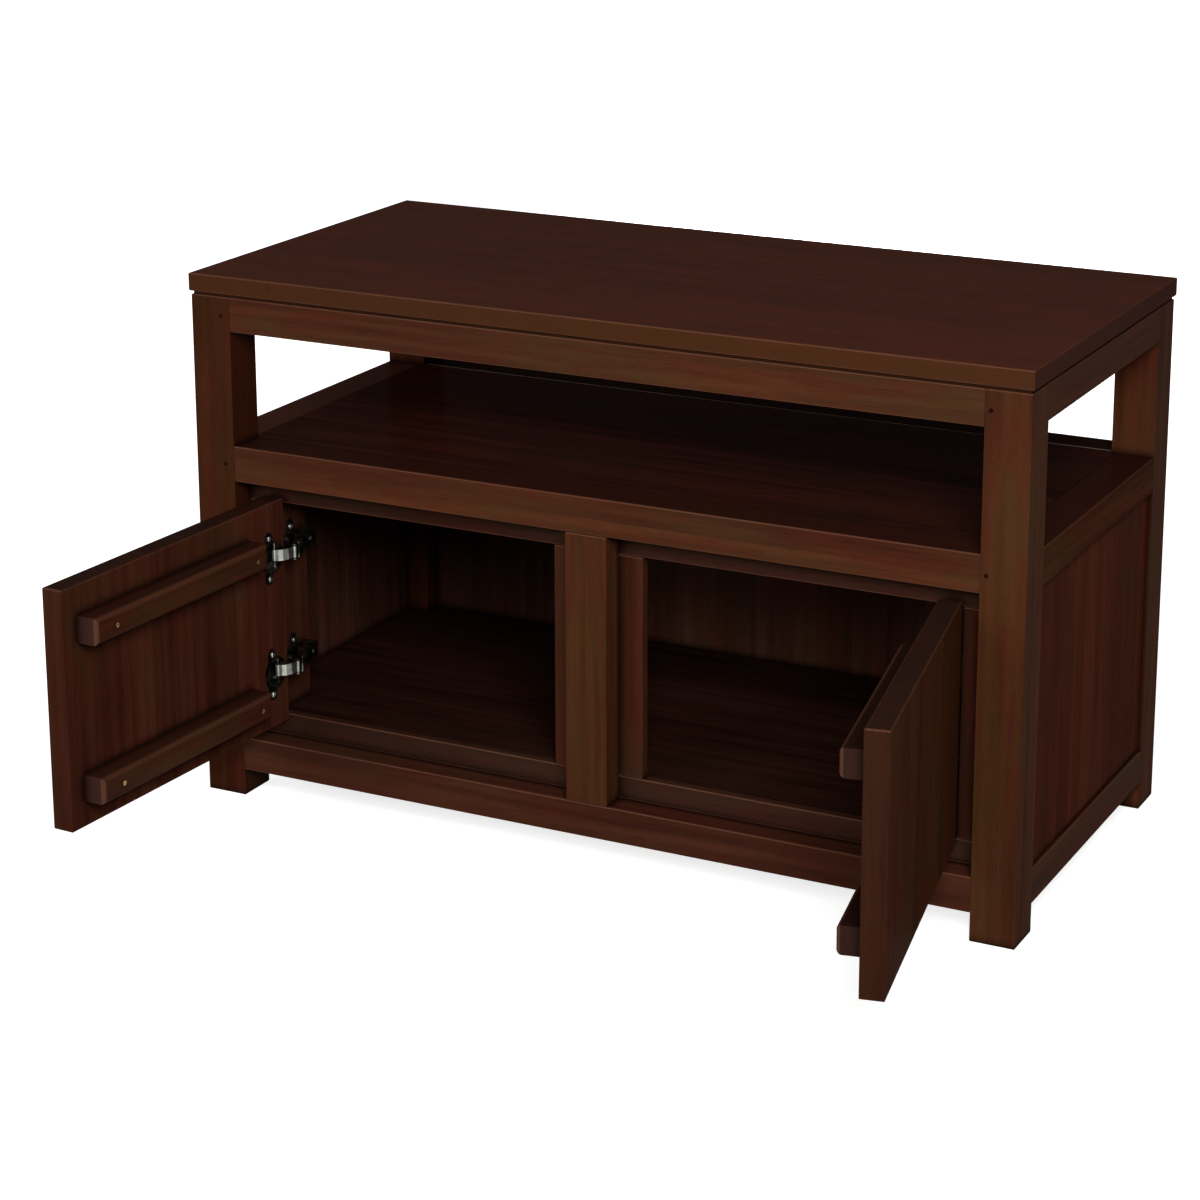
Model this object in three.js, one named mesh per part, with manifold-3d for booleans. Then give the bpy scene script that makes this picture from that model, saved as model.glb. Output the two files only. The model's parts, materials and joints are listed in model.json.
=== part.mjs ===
// A wooden TV stand with an open bay over a two-door cupboard, in millimetres, +Z up.
// X runs to the right, Y runs back from the front face of the legs, and Z up from the floor.
// The exported group is then moved so that the origin is the bottom centre of its bounding box.
import * as THREE from 'three';
import Module from 'manifold-3d';
import { mergeVertices } from 'three/addons/utils/BufferGeometryUtils.js';

const wasm = await Module();
wasm.setup();

// Driving dimensions of the stand
const standWidth = 1000;
const standDepth = 474;
const legSize = 50;
const legHeight = 597;
const jointGap = 0.3;
const easedEdge = 1.5;
const cutOverrun = 2;

// How finely round shapes are stepped, and how near two corners are when they are one
const pinSteps = 24;
const boreSteps = 40;
const cornerSteps = 6;
const easedSteps = 2;
const weldDistance = 0.01;

// Top board and the shadow line under it
const topThickness = 21;
const topOverhang = 2;
const shadowGapHeight = 3;
const shadowGapInset = 2;

// Rails: the height and place of each level, and how far the rails stay back from the legs' inner face
const footHeight = 32;
const bottomRailHeight = 40;
const shelfRailTop = 424;
const shelfRailHeight = 42;
const topRailHeight = 40;
const railSetback = 5;
const topRailDepth = 32;

// Mortise and tenon joints
const tenonThickness = 12;
const tenonInset = 19;
const tenonEndGap = 1;
const tenonShoulder = 6;
const stileTenonLength = 15;
const stileTenonWidth = 30;

// Boards and panels
const shelfThickness = 20;
const tongueLength = 8;
const tongueThickness = 8;
const floorThickness = 26;
const sidePanelThickness = 16;
const sidePanelInset = 4.5;
const backPanelThickness = 16;
const backPanelInset = 10;

// Centre stile, door stops and hinge posts
const stileWidth = 50;
const stopSetback = 30;
const stopThickness = 12;
const stopHeight = 27;
const stopSideWidth = 27;
const stopCentreWidth = 108;
const postDepth = 60;
const postHousingDepth = 8;

// Doors: the reveal is the gap from the door's edge to the frame round it
const doorThickness = 25;
const doorFrontSetback = 0.5;
const doorRevealHinge = 19;
const doorRevealStile = 20;
const doorRevealBottom = 22.5;
const doorRevealTop = 18.5;
const leftDoorOpening = 93;
const rightDoorOpening = 101;

// Battens on the back of a door: their centre lines are measured from its bottom and top edges
const battenThickness = 27;
const battenHeight = 30;
const battenRounding = 6;
const battenHingeInset = 66;
const battenFreeInset = 21;
const battenBottomInset = 44;
const battenTopInset = 48;

// Concealed hinges: their distance from the door's ends, and the cup that is let into the door
const hingeInset = 65;
const cupRadius = 17.5;
const cupDepth = 11.5;
const cupWall = 1;
const cupInset = 23.5;
const cupFlangeRadius = 19;
const cupFlangeThickness = 1.2;

// The flange's two ears: their screw holes stand above and below the cup, further from the edge
const earScrewSpacing = 48;
const earScrewOffset = 6;
const earWidth = 13;
const earScrewRadius = 2.2;

// The link's two pins: one in the cup, one at the tip of the arm
const cupPinInset = 14.1;
const cupPinDepth = 3.2;
const cupPinRadius = 1.4;
const armPinReach = 30.3;
const armPinSetback = 1.2;
const armPinRadius = 1.5;
const pinClearance = 0.3;

// The link turns by this share of the door's opening angle, the other way round
const linkTurnShare = 0.4333;
const linkThickness = 1.6;
const linkWidth = 13;
const linkEyeWall = 1.1;

// The link's plate, as shares of the distance between its pins: along it, and sunk towards the cup
const linkPlateShares = [[0, 0], [0.135, 0.14], [0.31, 0.2], [0.58, 0.194], [0.81, 0.116], [1, 0]];

// Hinge arm: a cranked channel that straddles the mounting plate and reaches forward to the pin
const armSheet = 1.2;
const armInnerWidth = 16;
const armLength = 64;
const armRearHeight = 13.7;
const armFootFront = 36;
const armTipRadius = 3.2;

// The arm's bends, as shares of the pin's reach and of the arm's length: heel and neck under it,
// then the knee and the front end of its web
const armHeelShares = [0.363, 0.5];
const armNeckShares = [0.792, 0.125];
const armKneeShares = [0.66, 0.531];
const armWebFrontShares = [1.01, 0.14];

// Mounting plate, screwed to the post
const plateThickness = 2;
const plateFront = 24;
const plateWidth = 14;
const wingWidth = 11;
const wingSpan = 48;
const wingSetback = 37;
const wingScrewSpacing = 32;
const plateScrewRadius = 2.4;
const plateRibHeight = 4;
const plateRibWidth = 9;
const plateBossRadius = 3.2;
const plateBossSetback = 52;

// Worked-out places that several pieces share
const railDepth = legSize - railSetback;
const tenonLength = legSize - tenonInset - tenonThickness - tenonEndGap;
const innerHalfWidth = standWidth / 2 - legSize;
const rearLegFront = standDepth - legSize;
const shelfRailBottom = shelfRailTop - shelfRailHeight;
const openingBottom = footHeight + bottomRailHeight;
const doorWidth = innerHalfWidth - stileWidth / 2 - doorRevealHinge - doorRevealStile;
const doorHeight = shelfRailBottom - doorRevealTop - openingBottom - doorRevealBottom;
const doorBottom = openingBottom + doorRevealBottom;
const doorInnerFace = doorFrontSetback + doorThickness;
const doorHingeEdge = -innerHalfWidth + doorRevealHinge;
const stopRear = stopSetback + stopThickness;
const postFace = -innerHalfWidth + stopSideWidth;
const floorTop = openingBottom + jointGap + floorThickness;

// Materials
const wood = new THREE.MeshStandardMaterial({ color: 0x5f2e1d, roughness: 0.42, metalness: 0 });
const darkWood = new THREE.MeshStandardMaterial({ color: 0x3c211b, roughness: 0.35, metalness: 0 });
const doorWood = new THREE.MeshStandardMaterial({ color: 0x6b3a26, roughness: 0.45, metalness: 0 });
const nickel = new THREE.MeshStandardMaterial({ color: 0xb9b6ae, roughness: 0.3, metalness: 1 });

// Geometry to solid and back
function toSolid(geometry) {
  const plain = geometry.index ? geometry.toNonIndexed() : geometry.clone();
  plain.deleteAttribute('normal');
  plain.deleteAttribute('uv');
  const merged = mergeVertices(plain, weldDistance);
  return new wasm.Manifold(new wasm.Mesh({
    numProp: 3,
    vertProperties: new Float32Array(merged.attributes.position.array),
    triVerts: new Uint32Array(merged.index.array),
  }));
}

function toGeometry(solid) {
  const mesh = solid.getMesh();
  const geometry = new THREE.BufferGeometry();
  geometry.setAttribute('position', new THREE.BufferAttribute(new Float32Array(mesh.vertProperties), 3));
  geometry.setIndex(new THREE.BufferAttribute(new Uint32Array(mesh.triVerts), 1));
  geometry.computeVertexNormals();
  return geometry;
}

function join(...geometries) {
  return toGeometry(geometries.map(toSolid).reduce((all, next) => all.add(next)));
}

// What two geometries have in common
function common(geometry, other) {
  return toGeometry(toSolid(geometry).intersect(toSolid(other)));
}

function cut(geometry, ...tools) {
  return toGeometry(tools.map(toSolid).reduce((rest, tool) => rest.subtract(tool), toSolid(geometry)));
}

// A plain box between two corners
function box(from, to) {
  const size = to.map((end, axis) => end - from[axis]);
  const middle = to.map((end, axis) => (end + from[axis]) / 2);
  return new THREE.BoxGeometry(...size).translate(...middle);
}

// A box between two corners with its edges eased
function easedBox(from, to) {
  const outline = new THREE.Shape([
    new THREE.Vector2(from[0] + easedEdge, from[1] + easedEdge),
    new THREE.Vector2(to[0] - easedEdge, from[1] + easedEdge),
    new THREE.Vector2(to[0] - easedEdge, to[1] - easedEdge),
    new THREE.Vector2(from[0] + easedEdge, to[1] - easedEdge),
  ]);
  return new THREE.ExtrudeGeometry(outline, {
    depth: to[2] - from[2] - 2 * easedEdge,
    bevelEnabled: true,
    bevelThickness: easedEdge,
    bevelSize: easedEdge,
    bevelSegments: easedSteps,
  }).translate(0, 0, from[2] + easedEdge);
}

function polygon(points) {
  return new THREE.Shape(points.map(([x, y]) => new THREE.Vector2(x, y)));
}

function extrude(shape, depth) {
  return new THREE.ExtrudeGeometry(shape, { depth, bevelEnabled: false, curveSegments: cornerSteps });
}

// A plan shape of two crossed rectangles: a board whose corners are cut out round the legs
function crossedPlan(outer, inner, thickness) {
  const [x, front, rear] = outer;
  const [innerX, innerFront, innerRear] = inner;
  return extrude(polygon([
    [-innerX, front], [innerX, front], [innerX, innerFront], [x, innerFront],
    [x, innerRear], [innerX, innerRear], [innerX, rear], [-innerX, rear],
    [-innerX, innerRear], [-x, innerRear], [-x, innerFront], [-innerX, innerFront],
  ]), thickness);
}

function roundedRectangle(width, height, radius) {
  const shape = new THREE.Shape();
  const right = width / 2;
  const top = height / 2;
  shape.moveTo(-right + radius, -top);
  shape.lineTo(right - radius, -top);
  shape.absarc(right - radius, -top + radius, radius, -Math.PI / 2, 0);
  shape.lineTo(right, top - radius);
  shape.absarc(right - radius, top - radius, radius, 0, Math.PI / 2);
  shape.lineTo(-right + radius, top);
  shape.absarc(-right + radius, top - radius, radius, Math.PI / 2, Math.PI);
  shape.lineTo(-right, -top + radius);
  shape.absarc(-right + radius, -top + radius, radius, Math.PI, 1.5 * Math.PI);
  return shape;
}

// A pin or a round hole along Z, centred on its own middle
function pin(x, y, radius, length) {
  return new THREE.CylinderGeometry(radius, radius, length, pinSteps)
    .rotateX(Math.PI / 2)
    .translate(x, y, 0);
}

// A bent sheet seen from its edge: a run of points, made thick to the left and to the right of it
function bentSheet(points, left, right) {
  const side = (offset) => points.map((point, index) => {
    const before = points[Math.max(index - 1, 0)];
    const after = points[Math.min(index + 1, points.length - 1)];
    const run = after.clone().sub(before).normalize();
    return new THREE.Vector2(point.x - offset * run.y, point.y + offset * run.x);
  });
  return new THREE.Shape([...side(left), ...side(-right).reverse()]);
}

// Turns a profile that was drawn in Y and Z and extruded along Z so that it runs along X
const alongX = new THREE.Matrix4().makeBasis(
  new THREE.Vector3(0, 1, 0),
  new THREE.Vector3(0, 0, 1),
  new THREE.Vector3(1, 0, 0),
);

function mesh(name, geometry, material) {
  const piece = new THREE.Mesh(geometry, material);
  piece.name = name;
  return piece;
}

// The three levels of rails
const levels = [
  { name: 'bottom', underside: footHeight, height: bottomRailHeight, depth: railDepth },
  { name: 'shelf', underside: shelfRailBottom, height: shelfRailHeight, depth: railDepth },
  { name: 'top', underside: legHeight - topRailHeight, height: topRailHeight, depth: topRailDepth },
];

// A leg with its outer corner at the origin and two mortises at each level
function legGeometry() {
  const mortises = levels.flatMap(({ underside, height }) => {
    const low = underside + tenonShoulder - jointGap;
    const high = underside + height - tenonShoulder + jointGap;
    const near = tenonInset - jointGap;
    const far = tenonInset + tenonThickness + jointGap;
    const deep = legSize - tenonLength - jointGap;
    return [
      box([deep, near, low], [legSize + cutOverrun, far, high]),
      box([near, deep, low], [far, legSize + cutOverrun, high]),
    ];
  });
  return cut(easedBox([0, 0, 0], [legSize, legSize, legHeight]), ...mortises);
}

// A rail along X, centred, with its outer face at y = 0 and its underside at z = 0
function railGeometry(span, { height, depth }) {
  const half = span / 2 - jointGap;
  const reach = span / 2 + tenonLength - jointGap;
  return join(
    easedBox([-half, 0, 0], [half, depth, height]),
    box([-reach, tenonInset, tenonShoulder], [reach, tenonInset + tenonThickness, height - tenonShoulder]),
  );
}

// The groove that takes the shelf's tongue, along the rail's inner face
function shelfGroove(span) {
  const middle = shelfRailHeight - shelfThickness / 2;
  const half = tongueThickness / 2 + jointGap;
  return box(
    [-span / 2 - cutOverrun, railDepth - tongueLength - jointGap, middle - half],
    [span / 2 + cutOverrun, railDepth + cutOverrun, middle + half],
  );
}

// The mortise for the centre stile, in the rail under it or over it
function stileMortise(from, to) {
  const half = stileTenonWidth / 2 + jointGap;
  const front = stileTenonFront() - jointGap;
  return box([-half, front, from], [half, front + tenonThickness + 2 * jointGap, to]);
}

function stileTenonFront() {
  return (stopSetback - tenonThickness) / 2;
}

const frontSpan = standWidth - 2 * legSize;
const sideSpan = standDepth - 2 * legSize;
const sides = [
  { name: 'front', turn: 0, x: 0, y: 0, span: frontSpan },
  { name: 'right', turn: Math.PI / 2, x: standWidth / 2, y: standDepth / 2, span: sideSpan },
  { name: 'rear', turn: Math.PI, x: 0, y: standDepth, span: frontSpan },
  { name: 'left', turn: -Math.PI / 2, x: -standWidth / 2, y: standDepth / 2, span: sideSpan },
];

function frame() {
  const group = new THREE.Group();
  const corners = [
    ['leg_front_left', 0, -standWidth / 2, 0],
    ['leg_front_right', Math.PI / 2, standWidth / 2, 0],
    ['leg_rear_right', Math.PI, standWidth / 2, standDepth],
    ['leg_rear_left', -Math.PI / 2, -standWidth / 2, standDepth],
  ];
  for (const [name, turn, x, y] of corners) {
    const leg = mesh(name, legGeometry(), wood);
    leg.position.set(x, y, 0);
    leg.rotation.z = turn;
    group.add(leg);
  }
  for (const side of sides) {
    for (const level of levels) {
      let geometry = railGeometry(side.span, level);
      if (level.name === 'shelf') {
        geometry = cut(geometry, shelfGroove(side.span));
      }
      if (side.name === 'front' && level.name === 'shelf') {
        geometry = cut(geometry, stileMortise(-cutOverrun, stileTenonLength + jointGap));
      }
      if (side.name === 'front' && level.name === 'bottom') {
        const floor = bottomRailHeight - stileTenonLength - jointGap;
        geometry = cut(geometry, stileMortise(floor, bottomRailHeight + cutOverrun));
      }
      const rail = mesh(`${level.name}_rail_${side.name}`, geometry, wood);
      rail.position.set(side.x, side.y, level.underside);
      rail.rotation.z = side.turn;
      group.add(rail);
    }
  }
  return group;
}

function topBoard() {
  const reach = standWidth / 2 + topOverhang;
  const stepReach = standWidth / 2 - shadowGapInset;
  const underside = legHeight + jointGap;
  const slabBottom = underside + shadowGapHeight;
  const slabTop = slabBottom + topThickness;
  const stepRear = standDepth - shadowGapInset;
  return mesh('top_board', join(
    easedBox([-reach, -topOverhang, slabBottom], [reach, standDepth + topOverhang, slabTop]),
    box([-stepReach, shadowGapInset, underside], [stepReach, stepRear, slabBottom + easedEdge]),
  ), darkWood);
}

// The inside limits that the legs leave to a board that is cut out round them
const betweenLegs = [innerHalfWidth - jointGap, legSize + jointGap, rearLegFront - jointGap];

function shelfBoard() {
  const edge = railDepth + jointGap;
  const board = crossedPlan([standWidth / 2 - edge, edge, standDepth - edge], betweenLegs, shelfThickness);
  const tip = edge - tongueLength;
  const tongue = crossedPlan([standWidth / 2 - tip, tip, standDepth - tip], betweenLegs, tongueThickness)
    .translate(0, 0, (shelfThickness - tongueThickness) / 2);
  const shelf = mesh('shelf_board', join(board, tongue), darkWood);
  shelf.position.z = shelfRailTop - shelfThickness;
  return shelf;
}

function floorBoard() {
  const side = standWidth / 2 - sidePanelInset - sidePanelThickness - jointGap;
  const rear = standDepth - backPanelInset - backPanelThickness - jointGap;
  const plan = crossedPlan([side, stopRear + jointGap, rear], betweenLegs, floorThickness);
  const housings = [-1, 1].map((end) => {
    const ends = [end * (-postFace - jointGap), end * innerHalfWidth];
    return box(
      [Math.min(...ends), stopRear - cutOverrun, floorThickness - postHousingDepth],
      [Math.max(...ends), stopRear + postDepth + 2 * jointGap, floorThickness + cutOverrun],
    );
  });
  const floor = mesh('floor_board', cut(plan, ...housings), wood);
  floor.position.z = openingBottom + jointGap;
  return floor;
}

function panels() {
  const group = new THREE.Group();
  const low = openingBottom + jointGap;
  const high = shelfRailBottom - jointGap;
  const outer = standWidth / 2 - sidePanelInset;
  const inner = outer - sidePanelThickness;
  const [x, front, rear] = betweenLegs;
  group.add(mesh('side_panel_left', easedBox([-outer, front, low], [-inner, rear, high]), wood));
  group.add(mesh('side_panel_right', easedBox([inner, front, low], [outer, rear, high]), wood));
  const back = standDepth - backPanelInset;
  group.add(mesh('back_panel', easedBox([-x, back - backPanelThickness, low], [x, back, high]), wood));
  return group;
}

function centreStile() {
  const half = stileWidth / 2;
  const low = openingBottom + jointGap;
  const high = shelfRailBottom - jointGap;
  const tenonHalf = stileTenonWidth / 2;
  const front = stileTenonFront();
  return mesh('centre_stile', join(
    easedBox([-half, 0, low], [half, stopSetback - jointGap, high]),
    box(
      [-tenonHalf, front, low - stileTenonLength],
      [tenonHalf, front + tenonThickness, high + stileTenonLength],
    ),
  ), wood);
}

function doorStops() {
  const group = new THREE.Group();
  const low = openingBottom + jointGap;
  const high = shelfRailBottom - jointGap;
  const ledge = openingBottom + stopHeight;
  const lintel = shelfRailBottom - stopHeight;
  const end = innerHalfWidth - jointGap;
  const centre = stopCentreWidth / 2;
  const strips = [
    ['door_stop_bottom', -end, end, low, ledge],
    ['door_stop_top', -end, end, lintel, high],
    ['door_stop_left', -end, postFace, ledge + jointGap, lintel - jointGap],
    ['door_stop_right', -postFace, end, ledge + jointGap, lintel - jointGap],
    ['door_stop_centre', -centre, centre, ledge + jointGap, lintel - jointGap],
  ];
  for (const [name, left, right, bottom, top] of strips) {
    group.add(mesh(name, easedBox([left, stopSetback, bottom], [right, stopRear, top]), wood));
  }
  return group;
}

// The posts stand in housings of the floor board behind the side stops and carry the mounting plates
function hingePosts() {
  const group = new THREE.Group();
  const end = innerHalfWidth - jointGap;
  const front = stopRear + jointGap;
  const low = floorTop - postHousingDepth + jointGap;
  const high = shelfRailBottom - jointGap;
  for (const [side, left, right] of [['left', -end, postFace], ['right', -postFace, end]]) {
    const geometry = easedBox([left, front, low], [right, front + postDepth, high]);
    group.add(mesh(`hinge_post_${side}`, geometry, wood));
  }
  return group;
}

// The door and its hinges are drawn closed, for the left side, from the door's hinge edge:
// X along the door, Y back from the stand's front face, Z up from the door's bottom edge.
const endNames = { left: ['lower', 'upper'], right: ['upper', 'lower'] };
const hingeCentres = [hingeInset, doorHeight - hingeInset];
const battenCentres = [battenBottomInset, doorHeight - battenTopInset];
const cupPin = [cupPinInset, doorInnerFace - cupPinDepth];
const postX = postFace - doorHingeEdge;
const armPin = [postX + armPinReach, stopSetback + armPinSetback];

function doorPanel() {
  const bores = hingeCentres.map((centre) => new THREE.CylinderGeometry(
    cupRadius + jointGap,
    cupRadius + jointGap,
    cupDepth + jointGap + cutOverrun,
    boreSteps,
  ).translate(cupInset, doorInnerFace + (cutOverrun - cupDepth - jointGap) / 2, centre));
  return cut(easedBox([0, doorFrontSetback, 0], [doorWidth, doorInnerFace, doorHeight]), ...bores);
}

// An outline that is square at its near end and has both corners rounded at its far end
function bullnose(near, far, low, high, radius) {
  const shape = new THREE.Shape();
  shape.moveTo(near, low);
  shape.lineTo(far - radius, low);
  shape.absarc(far - radius, low + radius, radius, -Math.PI / 2, 0);
  shape.lineTo(far, high - radius);
  shape.absarc(far - radius, high - radius, radius, 0, Math.PI / 2);
  shape.lineTo(near, high);
  return shape;
}

// A batten is rounded away from the door, both along its edges and at its ends
function battenGeometry(centre) {
  const back = doorInnerFace + jointGap;
  const front = back + battenThickness;
  const low = centre - battenHeight / 2;
  const high = centre + battenHeight / 2;
  const hingeEnd = battenHingeInset;
  const freeEnd = doorWidth - battenFreeInset;
  const section = extrude(bullnose(back, front, low, high, battenRounding), freeEnd - hingeEnd)
    .applyMatrix4(alongX)
    .translate(hingeEnd, 0, 0);
  const plan = extrude(bullnose(back, front, -freeEnd, -hingeEnd, battenRounding), battenHeight)
    .rotateZ(Math.PI / 2)
    .translate(0, 0, low);
  return common(section, plan);
}

// The cup is a turned bowl with an eared flange on the door's face and a pin across it
function cupGeometry() {
  const bowl = new THREE.LatheGeometry([
    new THREE.Vector2(0, -cupDepth),
    new THREE.Vector2(cupRadius, -cupDepth),
    new THREE.Vector2(cupRadius, cupFlangeThickness),
    new THREE.Vector2(cupRadius - cupWall, cupFlangeThickness),
    new THREE.Vector2(cupRadius - cupWall, cupWall - cupDepth),
    new THREE.Vector2(0, cupWall - cupDepth),
  ], boreSteps).translate(cupInset, 0, 0);
  const earX = cupInset + earScrewOffset;
  const flangeMiddle = jointGap + cupFlangeThickness / 2;
  const flange = new THREE.CylinderGeometry(
    cupFlangeRadius,
    cupFlangeRadius,
    cupFlangeThickness,
    boreSteps,
  ).translate(cupInset, flangeMiddle, 0);
  const ears = extrude(roundedRectangle(earWidth, earScrewSpacing + earWidth, earWidth / 2), cupFlangeThickness)
    .rotateX(-Math.PI / 2)
    .translate(earX, jointGap, 0);
  const earHoles = [-1, 1].map((end) => new THREE.CylinderGeometry(
    earScrewRadius,
    earScrewRadius,
    2 * (cupFlangeThickness + cutOverrun),
    pinSteps,
  ).translate(earX, flangeMiddle, end * earScrewSpacing / 2));
  const inner = cupRadius - cupWall;
  const mouth = new THREE.CylinderGeometry(inner, inner, cupDepth, boreSteps)
    .translate(cupInset, cupDepth / 2 - cupWall, 0);
  const across = 2 * Math.sqrt((cupRadius - cupWall / 2) ** 2 - (cupInset - cupPinInset) ** 2);
  const shell = cut(join(bowl, flange, ears), mouth, ...earHoles);
  return join(shell, pin(cupPinInset, -cupPinDepth, cupPinRadius, across))
    .translate(0, doorInnerFace, 0);
}

// The link is a bent plate with an eye at each end, drawn with the arm's pin at its origin
function linkGeometry() {
  const along = new THREE.Vector2(armPin[0] - cupPin[0], armPin[1] - cupPin[1]);
  const start = new THREE.Vector2(cupPin[0] - armPin[0], cupPin[1] - armPin[1]);
  const sunk = new THREE.Vector2(along.y, -along.x);
  const centreLine = linkPlateShares.map(([forward, down]) => start.clone()
    .addScaledVector(along, forward)
    .addScaledVector(sunk, down));
  const plate = bentSheet(centreLine, linkThickness / 2, linkThickness / 2);
  const cupEye = cupPinRadius + pinClearance;
  const armEye = armPinRadius + pinClearance;
  return cut(
    join(
      extrude(plate, linkWidth).translate(0, 0, -linkWidth / 2),
      pin(start.x, start.y, cupEye + linkEyeWall, linkWidth),
      pin(0, 0, armEye + linkEyeWall, linkWidth),
    ),
    pin(start.x, start.y, cupEye, linkWidth + cutOverrun),
    pin(0, 0, armEye, linkWidth + cutOverrun),
  );
}

// The arm and the plate are drawn from the post's inner face and the front of the door stops:
// X out from the post, Y back from the stops.
function armGeometry() {
  const foot = plateThickness + 2 * jointGap;
  const back = foot + armRearHeight;
  const bend = ([reachShare, lengthShare]) => (
    new THREE.Vector2(reachShare * armPinReach, lengthShare * armLength)
  );
  const cheek = new THREE.Shape();
  cheek.moveTo(foot, armLength);
  cheek.lineTo(foot, armFootFront);
  cheek.lineTo(...bend(armHeelShares));
  cheek.lineTo(...bend(armNeckShares));
  cheek.absarc(armPinReach, armPinSetback, armTipRadius, Math.PI, 2 * Math.PI);
  cheek.lineTo(...bend(armWebFrontShares));
  cheek.lineTo(...bend(armKneeShares));
  cheek.lineTo(back, armLength);
  const web = bentSheet([
    bend(armWebFrontShares),
    bend(armKneeShares),
    new THREE.Vector2(back, armLength),
  ], 0, armSheet);
  const outerWidth = armInnerWidth + 2 * armSheet;
  return join(
    extrude(cheek, armSheet).translate(0, 0, -outerWidth / 2),
    extrude(cheek, armSheet).translate(0, 0, armInnerWidth / 2),
    extrude(web, outerWidth).translate(0, 0, -outerWidth / 2),
    pin(armPinReach, armPinSetback, armPinRadius, outerWidth - armSheet),
  );
}

// The plate lies on the post: a base under the arm, a wing with two screw holes across it, and
// a rib with a boss that carries the arm's web
function plateGeometry() {
  const length = armLength - plateFront;
  const middle = (armLength + plateFront) / 2;
  const top = plateThickness + plateRibHeight;
  const bossTop = armRearHeight - armSheet + plateThickness;
  const base = extrude(roundedRectangle(length, plateWidth, plateWidth / 4), plateThickness)
    .translate(middle, 0, 0);
  const wing = extrude(roundedRectangle(wingWidth, wingSpan, wingWidth / 3), plateThickness)
    .translate(wingSetback, 0, 0);
  const rib = box(
    [plateFront + plateWidth / 4, -plateRibWidth / 2, plateThickness / 2],
    [armLength - plateWidth / 4, plateRibWidth / 2, top],
  );
  const boss = pin(plateBossSetback, 0, plateBossRadius, bossTop - plateThickness)
    .translate(0, 0, (bossTop + plateThickness) / 2);
  const screwHoles = [-1, 1].map((end) => pin(
    wingSetback,
    end * wingScrewSpacing / 2,
    plateScrewRadius,
    2 * (plateThickness + cutOverrun),
  ));
  return cut(join(base, wing, rib, boss), ...screwHoles)
    .applyMatrix4(alongX)
    .translate(jointGap, 0, 0);
}

// A door with its hinges, opened by an angle in degrees. It is drawn for the left, and the right
// one is the same assembly turned half round, so its two ends change names.
function hungDoor(side, opening) {
  const group = new THREE.Group();
  group.position.set(doorHingeEdge, 0, doorBottom);
  const angle = THREE.MathUtils.degToRad(opening);
  const linkPivot = new THREE.Group();
  linkPivot.position.set(armPin[0], armPin[1], 0);
  linkPivot.rotation.z = linkTurnShare * angle;
  const doorPivot = new THREE.Group();
  doorPivot.position.set(cupPin[0] - armPin[0], cupPin[1] - armPin[1], 0);
  doorPivot.rotation.z = -(1 + linkTurnShare) * angle;
  const door = new THREE.Group();
  door.position.set(-cupPin[0], -cupPin[1], 0);
  group.add(linkPivot);
  linkPivot.add(doorPivot);
  doorPivot.add(door);

  door.add(mesh(`door_panel_${side}`, doorPanel(), doorWood));
  endNames[side].forEach((end, index) => {
    door.add(mesh(`door_batten_${end}_${side}`, battenGeometry(battenCentres[index]), doorWood));
    const centre = hingeCentres[index];
    const cup = mesh(`hinge_cup_${end}_${side}`, cupGeometry(), nickel);
    cup.position.z = centre;
    door.add(cup);
    const link = mesh(`hinge_link_${end}_${side}`, linkGeometry(), nickel);
    link.position.z = centre;
    linkPivot.add(link);
    for (const [name, geometry] of [['arm', armGeometry()], ['plate', plateGeometry()]]) {
      const fixed = mesh(`hinge_${name}_${end}_${side}`, geometry, nickel);
      fixed.position.set(postX, stopSetback, centre);
      group.add(fixed);
    }
  });
  return group;
}

function build() {
  const stand = new THREE.Group();
  stand.add(frame(), topBoard(), shelfBoard(), floorBoard(), panels());
  stand.add(centreStile(), doorStops(), hingePosts());
  stand.add(hungDoor('left', leftDoorOpening));
  const right = new THREE.Group();
  right.rotation.y = Math.PI;
  right.position.z = 2 * doorBottom + doorHeight;
  right.add(hungDoor('right', rightDoorOpening));
  stand.add(right);
  return stand;
}

const tvStand = build();
tvStand.updateMatrixWorld(true);
const bounds = new THREE.Box3().setFromObject(tvStand);
const middle = bounds.getCenter(new THREE.Vector3());
tvStand.position.set(-middle.x, -middle.y, -bounds.min.z);
tvStand.updateMatrixWorld(true);

export default tvStand;
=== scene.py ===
# A mahogany TV stand: its stained and lacquered wood, nickel hinges, brass screws and pegs, in metres.
import json
import math

import bpy
from mathutils import Euler, Matrix, Vector


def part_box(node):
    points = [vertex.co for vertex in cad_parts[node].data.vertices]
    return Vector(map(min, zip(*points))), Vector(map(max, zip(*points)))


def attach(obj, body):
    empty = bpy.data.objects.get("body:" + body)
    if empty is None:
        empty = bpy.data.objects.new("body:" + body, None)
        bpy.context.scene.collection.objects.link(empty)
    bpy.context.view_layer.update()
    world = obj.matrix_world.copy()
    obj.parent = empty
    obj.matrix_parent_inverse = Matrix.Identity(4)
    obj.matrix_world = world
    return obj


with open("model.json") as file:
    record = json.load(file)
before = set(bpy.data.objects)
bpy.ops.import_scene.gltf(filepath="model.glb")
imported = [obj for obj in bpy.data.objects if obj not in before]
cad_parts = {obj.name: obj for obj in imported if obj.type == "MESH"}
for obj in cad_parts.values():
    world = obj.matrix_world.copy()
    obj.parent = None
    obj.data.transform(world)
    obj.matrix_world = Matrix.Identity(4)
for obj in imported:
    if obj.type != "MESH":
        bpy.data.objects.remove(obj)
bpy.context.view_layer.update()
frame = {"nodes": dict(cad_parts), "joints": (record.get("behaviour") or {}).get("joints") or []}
nodes = frame["nodes"]
jointPlaces = {joint["name"]: Vector(joint["pos_m"]) for joint in frame["joints"]}
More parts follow.
